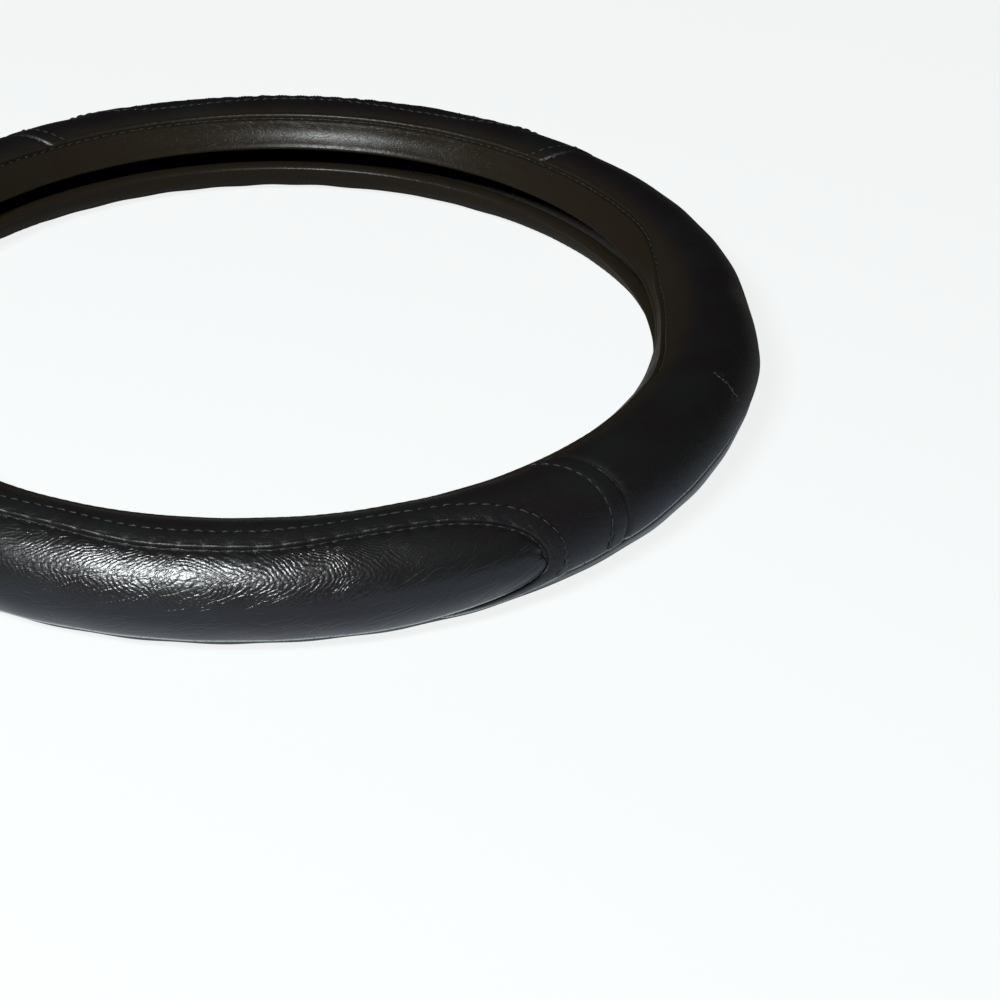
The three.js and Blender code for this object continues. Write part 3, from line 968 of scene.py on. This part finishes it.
# %% Side skins
JOINT_DIP = -0.7  # at a joint a side skin lies lower than the surround
SIDE_FULL, SIDE_HOLLOW = (0.7, -9, 6), (-0.9, 3, 4)  # height, theta and width, on the right side


def side_relief(theta, phi):
    """The side skins: turned in at the joints, the hem and the outer seam, and full in one place."""
    joint = np.maximum(from_joint(theta, phi), 0)
    swell = sum(height * bell(theta - at, width) for height, at, width in (SIDE_FULL, SIDE_HOLLOW))
    height = crest(joint, 0, 1.9, JOINT_DIP) + puckers(joint, across(phi), 2.6, 0.10)
    height += swell * smooth(phi, 110, 40) * smooth(phi, -22, 0)
    return height + common_relief(theta, phi, 0.14)


def side_places(centre, columns=360, rows=84):
    """Theta runs between the joint lines and phi between the seams, settled in a few rounds."""
    u, v = np.meshgrid(crowded(columns, 0.9), crowded(rows), indexing="ij")
    phi = HEM_LOW * v
    for _ in range(5):
        half = 90 - cross_joint(phi) - EDGE / along(1, phi)
        theta = centre + (2 * u - 1) * half
        low = outer_seam(theta) + EDGE / across(1)
        phi = low + (hem_seam(theta) - EDGE / across(1) - low) * v
    return theta, phi


for side, centre in SIDES.items():
    piece = skin(f"{side}_side", side_places(centre), side_relief, skin_finish, seam_highlight_line)
    made[f"{side}_side_skin"] = piece

# %% [markdown]
# ## Grip panels
#
# A panel is one smooth piece with a round nose at each end. Its columns run straight up and down and
# get shorter towards the noses, like the lines of a spindle. It is turned in all round, gathered at
# its seam and slightly full in the middle, as leather over soft rubber is.

# %% Grip panels


def panel_relief(theta, phi):
    """Full in the middle, 0.55 (1 - exp(-d / 5)), with gathers above and a clean ridge below."""
    depth = np.maximum(-from_panel(theta, phi), 0)
    run, upper = panel_run(theta, phi), smooth(phi, -8, 14)
    gathers = puckers(depth, run, 4.6, 0.26, slant=0.9) + pits(depth, run, 2.2, 0.75, slant=0.7)
    gathers += knots(depth, run + 2.0, 0.36)
    height = 0.55 * (1 - np.exp(-depth / 5.0)) + edge_roll(depth) + gathers * upper
    return height + crest(depth, 1.05, 0.55, 0.5) * (1 - upper) + 0.12 * uneven(theta, phi)


def panel_highlight_line(theta, phi):
    """Where the painted highlight line lies on a panel: a thin line along its lower outline."""
    depth = np.maximum(-from_panel(theta, phi), 0)
    return crest(depth, 0.9, 0.8, 1.0) * (1 - smooth(phi, -26, -12))


def panel_places(centre, columns=300, rows=56):
    """Columns from nose to nose, closer at the noses, and rows from the lower to the upper edge."""
    straight = STRAIGHT * crowded(columns // 3, 0) * 2 - STRAIGHT
    nose_reach = REACH - STRAIGHT - EDGE / along(1, 0)
    nose = STRAIGHT + nose_reach * np.sin(np.linspace(0, 87, columns // 3)[1:] * DEG)
    side = np.concatenate([-nose[::-1], straight, nose])
    away = np.abs(side)
    t = np.clip((away - STRAIGHT) / nose_reach, 0, 1)
    narrow = np.sqrt(1 - t * t)
    low = NOSE - (panel_depth(away) - EDGE / across(1)) * narrow
    high = NOSE + (panel_top(away) - NOSE - EDGE / across(1)) * narrow
    phi = low[:, None] + (high - low)[:, None] * crowded(rows, 0.88)
    return centre + np.repeat(side[:, None], rows, 1), phi


for end, centre in GRIPS.items():
    piece = skin(f"{end}_panel", panel_places(centre), panel_relief, panel_finish, panel_highlight_line)
    made[f"{end}_grip_panel"] = piece

# %% [markdown]
# ## The surround of a grip panel
#
# The surround is sewn on round the panel, and its folds follow the panel's nose. A grid in theta and
# phi would cut across those folds. So its rows are the panel's own outline, grown step by step, as
# far as the topstitches, and past them they blend into the outer edges of the piece.

# %% Outlines and lines


def grown_outline(centre, grow, stop=EDGE, samples=400):
    """The panel's outline grown by a length, from the outer seam over the top and back to it.

    Each half is a straight top and a nose of two quarter ellipses, cut off short of the outer seam.
    """
    turn = np.linspace(0, 180, samples) * DEG
    reach = REACH - STRAIGHT + grow / along(1, 0)
    away = np.concatenate([np.linspace(0, STRAIGHT, samples)[:-1], STRAIGHT + reach * np.sin(turn)])
    narrow = np.concatenate([np.ones(samples - 1), np.cos(turn)])
    height = np.where(narrow > 0, panel_top(away) - NOSE, panel_depth(away)) + grow / across(1)
    phi = NOSE + height * narrow
    clear = phi - outer_seam(centre + away) - stop / across(1)
    # the last point is moved back to where the line crosses the stop
    last = np.argmax((clear < 0) & (narrow < 0)) if (clear < 0).any() else len(phi) - 1
    part = clear[last - 1] / (clear[last - 1] - clear[last])
    end = [a[last - 1] + part * (a[last] - a[last - 1]) for a in (away, phi)]
    half = np.stack([np.append(away[:last], end[0]), np.append(phi[:last], end[1])], 1)
    return np.concatenate([half[:0:-1] * [-1, 1], half]) + [centre, 0]


def resample(line, fractions):
    """Points of a line of (theta, phi) places at fractions of its length."""
    step = np.diff(line, axis=0)
    middle = (line[1:, 1] + line[:-1, 1]) / 2
    length = np.hypot(along(step[:, 0], middle), across(step[:, 1]))
    run = np.concatenate([[0], np.cumsum(length)])
    return np.stack([np.interp(fractions * run[-1], run, line[:, i]) for i in range(2)], 1)


ends = grown_outline(GRIPS["top"], 0)[[0, -1]]
print("The top panel's outline starts and ends at the outer seam at", ends.round(1).tolist())

# %% Places and relief of a surround
JOINT_FOOT = 43.0  # about where a cross joint meets the outer seam
NEAR_ROWS = [EDGE, 0.3, 0.5, 0.75, 1.05, 1.5, 2.1, 2.9, 3.9, 5.0, 6.0]


def surround_edge(centre, samples=200):
    """The outer edge of a surround: up one joint, along the hem and down the other joint."""
    corner = JOINT_FOOT
    for _ in range(6):
        foot = outer_seam(centre + corner) + EDGE / across(1)
        corner = cross_joint(foot) - EDGE / along(1, foot)
    phi = np.linspace(foot, HEM_LOW - EDGE / across(1), samples)
    away = cross_joint(phi) - EDGE / along(1, phi)
    up = np.stack([away, phi], 1)
    hem = np.linspace(away[-1], -away[-1], samples)[1:-1]
    over = np.stack([hem, np.full(len(hem), phi[-1])], 1)
    return np.concatenate([up, over, up[::-1] * [-1, 1]])[::-1] + [centre, 0]


def surround_places(centre, columns=480):
    """Rows of grown outlines up to 10 mm out, then a patch blended between its four edges.

    The blend is the sum of the two that join opposite edges, less the one between the corners.
    """
    u = np.linspace(0, 1, columns)
    grows = np.concatenate([NEAR_ROWS, np.linspace(6.6, 10, 8)])
    near = np.stack([resample(grown_outline(centre, g), u) for g in grows], 1)
    outer = resample(surround_edge(centre), u)
    v = 1 - (1 - np.linspace(0, 1, 34)[1:]) ** 1.6
    start = near[:, -1]
    ends = []
    for side in (0, -1):
        theta = start[side, 0] + (outer[side, 0] - start[side, 0]) * v
        ends.append(np.stack([theta, outer_seam(theta) + EDGE / across(1)], 1))
    u, v = u[:, None, None], v[None, :, None]
    straight = (1 - v) * start[:, None] + v * outer[:, None]
    sides = (1 - u) * ends[0] + u * ends[1]
    first, last = ((1 - v) * start[side] + v * outer[side] for side in (0, -1))
    grid = np.concatenate([near, straight + sides - (1 - u) * first - u * last], 1)
    return grid[..., 0], grid[..., 1]


def surround_relief(theta, phi):
    """Round a panel: allowance and topstitch at the panel and at the joints, hem and outer seam."""
    panel, joint = from_panel(theta, phi), -from_joint(theta, phi)
    panel_side, joint_side = np.maximum(panel, 0), np.maximum(joint, 0)
    run, rise_run, upper = panel_run(theta, phi), across(phi), smooth(phi, -8, 14)
    gathers = pits(panel_side, run, 1.7, 0.6) + puckers(panel_side, run, 2.6, 0.22)
    gathers += crest(panel_side, 1.0, 0.35, 0.36) + ruffles(panel_side, run, 0.25)
    gathers += knots(panel_side, run, 0.42)
    height = edge_roll(panel_side) + allowance(panel, TOPSTITCH) + gathers * upper
    height += stitch_row(panel - TOPSTITCH, run) * smooth(across(phi - outer_seam(theta)), 1.5, 3.5)
    height += 0.35 * edge_roll(joint_side, 0.5) + 0.6 * allowance(joint, TOPSTITCH)
    height += stitch_row(joint - TOPSTITCH, rise_run) + puckers(joint_side, rise_run, 2.2, 0.16)
    return height + common_relief(theta, phi, 0.12)


for end, centre in GRIPS.items():
    piece = skin(f"{end}_surround", surround_places(centre), surround_relief, skin_finish, seam_highlight_line)
    made[f"{end}_grip_surround"] = piece

# %% [markdown]
# ## The back
#
# One long strip covers the underside, from the outer seam to the lower hem. The cover's own weight
# presses it flat along its lowest line, so there its radius is that of the table's plane, height
# over sin(phi), and no fold of it may pass below the table.

# %% Back skin


def back_relief(theta, phi):
    """The back: turned in at both its seams, and flat where it lies on the table."""
    hem = across(np.abs(hem_seam(theta) + phi))
    turned_in = edge_roll(from_outer_seam(theta, phi)) + edge_roll(hem) + crest(hem, 1.5, 0.9, 0.3)
    flat = REST_HEIGHT / np.sin(np.clip(phi, -100, -80) * DEG) - SECTION
    free = turned_in + 0.2 * (uneven(theta, phi) - 0.6) * (1 - bell(phi + 90, 14))
    from_table = np.abs(phi + 90)
    room = 5 * smooth(from_table, REST_FLAT, 40)
    return np.where(from_table < REST_FLAT, flat, np.minimum(free, room))


def back_places(columns=1000, rows=52):
    """Round the whole ring, from the outer seam down and in to the lower hem."""
    theta = np.linspace(-180, 180, columns, endpoint=False)
    high = outer_seam(theta) - EDGE / across(1)
    low = -hem_seam(theta) + EDGE / across(1)
    phi = high[:, None] + (low - high)[:, None] * crowded(rows)
    return np.repeat(theta[:, None], rows, 1), phi


made["back_skin"] = skin("back", back_places(), back_relief, back_finish, closed=True)

# %% [markdown]
# ## Hem bands and the rubber ring
#
# A band is folded round each lip of the slit. Its section is one closed outline: out from the hem
# seam to the lip, round the fold, and back inside. The rubber ring inside it is a plain C. Both are
# the same outline carried round the ring, so one helper makes them.

# %% Hem bands
HALF_SLIT = 4.7
LIP = 180 - math.asin(HALF_SLIT / SECTION) / DEG
RUBBER = 2.4  # thickness of the rubber
CORE_OUT, CORE_IN = INSIDE - GAP, INSIDE - GAP - RUBBER
BAND_IN = CORE_IN - GAP - SKIN
BAND_ROWS = 22


def outline_ring(name, theta, phi, rho, finish):
    """A closed outline of phi and rho, shape (columns, count), placed at each theta of the ring."""
    theta = np.repeat(theta[:, None], phi.shape[1], 1)
    return loft(name, place(theta, phi, rho), theta, phi, finish, closed=True)


def band_section(theta):
    """The band's outline at each theta, as (phi, rho).

    It runs outside from the hem seam to the lip, round a half-round fold, in along the turned-in
    strip, and back on the inside.
    """
    # the angles below are in degrees short of the lip
    fold = np.linspace(90, -90, 9)[1:-1] * DEG
    middle, half = (SECTION + BAND_IN) / 2, (SECTION - BAND_IN) / 2
    start = (hem_seam(theta) + EDGE / across(1))[:, None]
    outside = start + (LIP - 1.5 - start) * crowded(BAND_ROWS, 0.7)
    round_lip = LIP - 1.5 + 1.1 / across(1) * np.cos(fold)
    inside = np.array([LIP - 1.5, LIP - 8, LIP - 16, LIP - 16, LIP - 6, LIP - 5, LIP - 5, LIP - 6])
    under = [BAND_IN] * 3 + [BAND_IN + SKIN] * 2 + [BAND_IN + SKIN + GAP, INSIDE - GAP, INSIDE]
    back = (LIP - 6) + (start - LIP + 6) * np.linspace(0, 1, 6)[1:]
    fixed = np.repeat(np.concatenate([round_lip, inside])[None], len(theta), 0)
    outer_rho, fold_rho = np.full(BAND_ROWS, SECTION), middle + half * np.sin(fold)
    return (np.concatenate([outside, fixed, back], 1),
            np.concatenate([outer_rho, fold_rho, under, np.full(5, INSIDE)]))


def band(name, up, columns=1080):
    """A band, with the hem's ridge and a full lip on its outside. Up is 1 or -1."""
    theta = np.linspace(-180, 180, columns, endpoint=False)
    phi, rho = band_section(theta)
    lip = 0.35 * bell(across(phi - LIP + 2.5), 0.8)
    relief = (rho > SECTION - 0.01) * (hem_ridge(theta[:, None], phi) + lip)
    height = rho + relief + 0.06 * uneven(theta[:, None], phi)
    return outline_ring(name, theta, up * phi, height, band_finish)


made["upper_hem_band"] = band("upper_band", 1)
made["lower_hem_band"] = band("lower_band", -1)

# %% Rubber ring
CORE_COLUMNS, CORE_ROWS_OUT, CORE_ROWS_IN = 480, 40, 90
CORE_LIP = LIP - (SKIN + GAP) / CORE_IN / DEG
core_phi = np.concatenate([np.linspace(-CORE_LIP, CORE_LIP, CORE_ROWS_OUT),
                           np.linspace(CORE_LIP, -CORE_LIP, CORE_ROWS_IN)])
core_rho = np.concatenate([np.full(CORE_ROWS_OUT, CORE_OUT), np.full(CORE_ROWS_IN, CORE_IN)])
core_theta = np.linspace(-180, 180, CORE_COLUMNS, endpoint=False)
core_phi = np.repeat(core_phi[None], CORE_COLUMNS, 0)
made["core_ring"] = outline_ring("rubber_ring", core_theta, core_phi, core_rho, rubber_finish)

# %% [markdown]
# ## Stitches
#
# A row of sewing is not a line but a chain of short bridges of thread that dive into the leather at
# each needle hole. Each bridge is a small tube with an arched middle line. They are all worked out
# at once: one array holds every stitch, every step along it and every corner of its section.

# %% Tubes of thread
THREAD, STITCH = 0.33, 3.3  # radius of the thread, and length of a stitch
TUBE_SIDES = 8


def stitch_mesh(name, middle, out, finish):
    """Tubes round middle lines of shape (stitches, steps, 3), flattened at both ends to small caps.

    Corner k of a section is middle + r (cos(k) out + sin(k) side), with side = tangent x out.
    """
    stitches, steps = middle.shape[:2]
    tangent = np.gradient(middle, axis=1)
    tangent /= np.linalg.norm(tangent, axis=-1, keepdims=True)
    side = np.cross(tangent, out)
    side /= np.linalg.norm(side, axis=-1, keepdims=True)
    out = np.cross(side, tangent)
    taper = np.sqrt(np.sin(np.linspace(0.12, np.pi - 0.12, steps)))[:, None, None] * THREAD
    turn = np.arange(TUBE_SIDES) * 2 * np.pi / TUBE_SIDES
    ring = np.cos(turn)[:, None] * out[:, :, None] + np.sin(turn)[:, None] * side[:, :, None]
    points = (middle[:, :, None] + taper * ring).reshape(-1, 3)
    index = np.arange(len(points)).reshape(stitches, steps, TUBE_SIDES)
    here, there = index[:, :-1], index[:, 1:]
    quads = np.stack([here, np.roll(here, -1, 2), np.roll(there, -1, 2), there], -1).reshape(-1, 4)
    faces = [quads, np.concatenate([index[:, 0, ::-1], index[:, -1]])]
    way = -1 if volume(points, faces) < 0 else 1
    faces = [f[:, ::way] for f in faces]
    corners = np.concatenate([f.reshape(-1) for f in faces])
    stitch, rest = np.divmod(corners, steps * TUBE_SIDES)
    wide = math.ceil(math.sqrt(stitches))
    cell = np.stack([stitch % wide, stitch // wide], -1)
    local = np.stack([rest // TUBE_SIDES / (steps - 1), rest % TUBE_SIDES / (TUBE_SIDES - 1)], -1)
    return mesh_from(name, points, faces, [local], [(cell + 0.1 + 0.8 * local) / wide], finish)


def stitches(name, line, relief, rho, length=STITCH, arch=0.34, steps=9):
    """Stitches along a line of (theta, phi) places, each lying on the leather at that height.

    Each is arched by 1 - |x|^2.4 and differs a little from the next in length, height and slant.
    """
    dense = resample(line, np.linspace(0, 1, 4000))
    points = place(dense[:, 0], dense[:, 1], SECTION)
    run = np.concatenate([[0], np.cumsum(np.linalg.norm(np.diff(points, axis=0), axis=1))])
    count = int((run[-1] - length) / PITCH)
    centre = (run[-1] - count * PITCH) / 2 + np.arange(count + 1) * PITCH
    inside = np.linspace(-1, 1, steps)
    long, high, slant = chance.normal(0, 1, (3, count + 1, 1))
    at = centre[:, None] + inside * length / 2 * (1 + 0.10 * long)
    theta, phi = (np.interp(at, run, dense[:, i]) for i in range(2))
    phi = phi + 0.18 * slant * inside / across(1)
    lift = arch * (1 - np.abs(inside) ** 2.4) - 0.5 * arch + 0.07 * high
    height = rho + (relief(theta, phi) if relief else 0) + lift
    middle = place(theta, phi, height)
    out = middle - place(theta, phi, 0.0)
    out /= np.linalg.norm(out, axis=-1, keepdims=True)
    return stitch_mesh(name, middle, out, thread_finish)


print(f"A stitch is {STITCH} mm long and {2 * THREAD} mm thick, one every {PITCH} mm")

# %% [markdown]
# ## Rows of stitches
#
# The threads of the panel seams and cross joints lie deep in their grooves, where little of them
# shows. The topstitches beside them lie on the surround, so they ask its relief for their height.

# %% At the panels and the joints


def joint_line(centre, side, shift):
    """A line along a cross joint, shifted towards the panel, from the outer seam to the hem."""
    low = outer_seam(centre + side * JOINT_FOOT) + 1.2 / across(1)
    phi = np.linspace(low, HEM_LOW - 1.2 / across(1), 120)
    return np.stack([centre + side * (cross_joint(phi) - shift / along(1, phi)), phi], 1)


for end, centre in GRIPS.items():
    seam = grown_outline(centre, 0.0, stop=1.2)
    row = grown_outline(centre, TOPSTITCH, stop=2.4)
    made[f"{end}_panel_seam_thread"] = stitches(f"{end}_panel_seam", seam, None, SECTION - 1.35)
    made[f"{end}_panel_topstitch"] = stitches(f"{end}_panel_row", row, surround_relief, SECTION + 0.05)
    for side in (1, -1):
        hand = "right" if math.cos((centre + side * JOINT) * DEG) > 0 else "left"
        joint, topstitch = joint_line(centre, side, 0), joint_line(centre, side, TOPSTITCH)
        key = f"{end}_{hand}_joint"
        made[f"{key}_thread"] = stitches(f"{key}_seam", joint, None, SECTION - 1.0)
        made[f"{key}_topstitch"] = stitches(f"{key}_row", topstitch, surround_relief, SECTION + 0.12)

# %% Round the whole ring
around = np.linspace(-180, 180, 721)
ring_seams = {
    "outer_seam_thread": outer_seam(around),
    "upper_hem_thread": hem_seam(around),
    "lower_hem_thread": -hem_seam(around),
}
for node, phi in ring_seams.items():
    line = np.stack([around, phi], 1)
    made[node] = stitches(node.replace("_thread", "_stitches"), line, None, SECTION - 1.2)

# %% [markdown]
# ## Handing the pieces to the frame
#
# Each new piece stands for one node of the packed model, which it hides, and rides on its body.

# %% Riding and replacing
for node, piece in made.items():
    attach(piece, "root")
    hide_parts(node)
print("Nodes left as they are:", sorted(set(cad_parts) - set(made)))

# %% Sizes, for comparison
boxes = {"cad": [list(p) for p in cad_box], "visual": [list(p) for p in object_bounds()]}
print("The dressed cover fills", [round(1000 * (b - a), 1) for a, b in zip(*boxes["visual"])], "mm")
